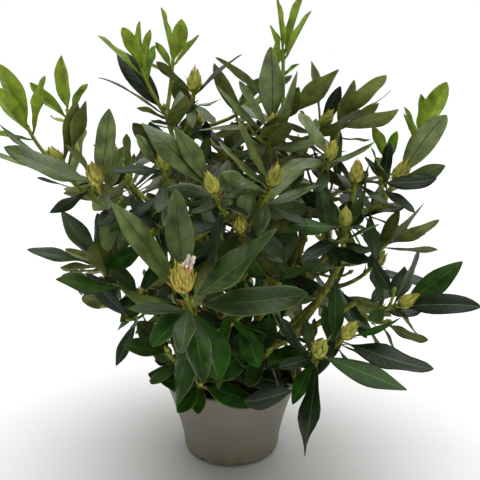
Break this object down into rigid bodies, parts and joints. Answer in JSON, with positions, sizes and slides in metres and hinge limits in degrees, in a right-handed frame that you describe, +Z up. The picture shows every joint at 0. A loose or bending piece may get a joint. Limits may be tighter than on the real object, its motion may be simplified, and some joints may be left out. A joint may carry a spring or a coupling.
{
  "type": "potted rhododendron",
  "caption": "Young rhododendron shrub, a round crown of leathery leaf whorls with end buds, standing in a flared plastic nursery pot.",
  "frame": {"origin": "centre of the pot's flat underside", "axes": "+Z up along the pot's axis, -Y towards the viewer on the side with the opening bud, +X to the right"},
  "size_m": [0.5378, 0.4542, 0.5659],
  "materials": {
    "pot_plastic": "matte",
    "soil": "rough",
    "bark": "rough",
    "foliage": "satin"
  },
  "bodies": {
    "root": {"pot": "pot_plastic", "root_ball": "soil", "trunk": "bark", "bough_front": "bark", "bough_front_right": "bark", "bough_front_left": "bark", "bough_front_low": "bark", "bough_left_far": "bark", "bough_left_mid": "bark", "bough_top_left": "bark", "bough_upper_left": "bark", "bough_top_centre": "bark", "bough_upper_front": "bark", "bough_right_far": "bark", "bough_top_right": "bark", "bough_right_low": "bark", "bough_right_mid": "bark", "bough_back_low_1": "bark", "bough_back_low_2": "bark", "bough_back_low_3": "bark", "bough_back_low_4": "bark", "bough_back_low_5": "bark", "bough_back_high_2": "bark", "bough_back_high_3": "bark", "bough_back_high_4": "bark", "bough_back_high_5": "bark", "bough_back_top": "bark", "leaves_front": "foliage", "leaves_front_right": "foliage", "leaves_front_left": "foliage", "leaves_front_low": "foliage", "leaves_left_far": "foliage", "leaves_left_mid": "foliage", "leaves_top_left": "foliage", "leaves_upper_left": "foliage", "leaves_top_centre": "foliage", "leaves_upper_front": "foliage", "leaves_right_far": "foliage", "leaves_top_right": "foliage", "leaves_right_low": "foliage", "leaves_right_mid": "foliage", "leaves_back_low_1": "foliage", "leaves_back_low_2": "foliage", "leaves_back_low_3": "foliage", "leaves_back_low_4": "foliage", "leaves_back_low_5": "foliage", "leaves_back_high_2": "foliage", "leaves_back_high_3": "foliage", "leaves_back_high_4": "foliage", "leaves_back_high_5": "foliage", "leaves_back_top": "foliage"}
  },
  "joints": []
}
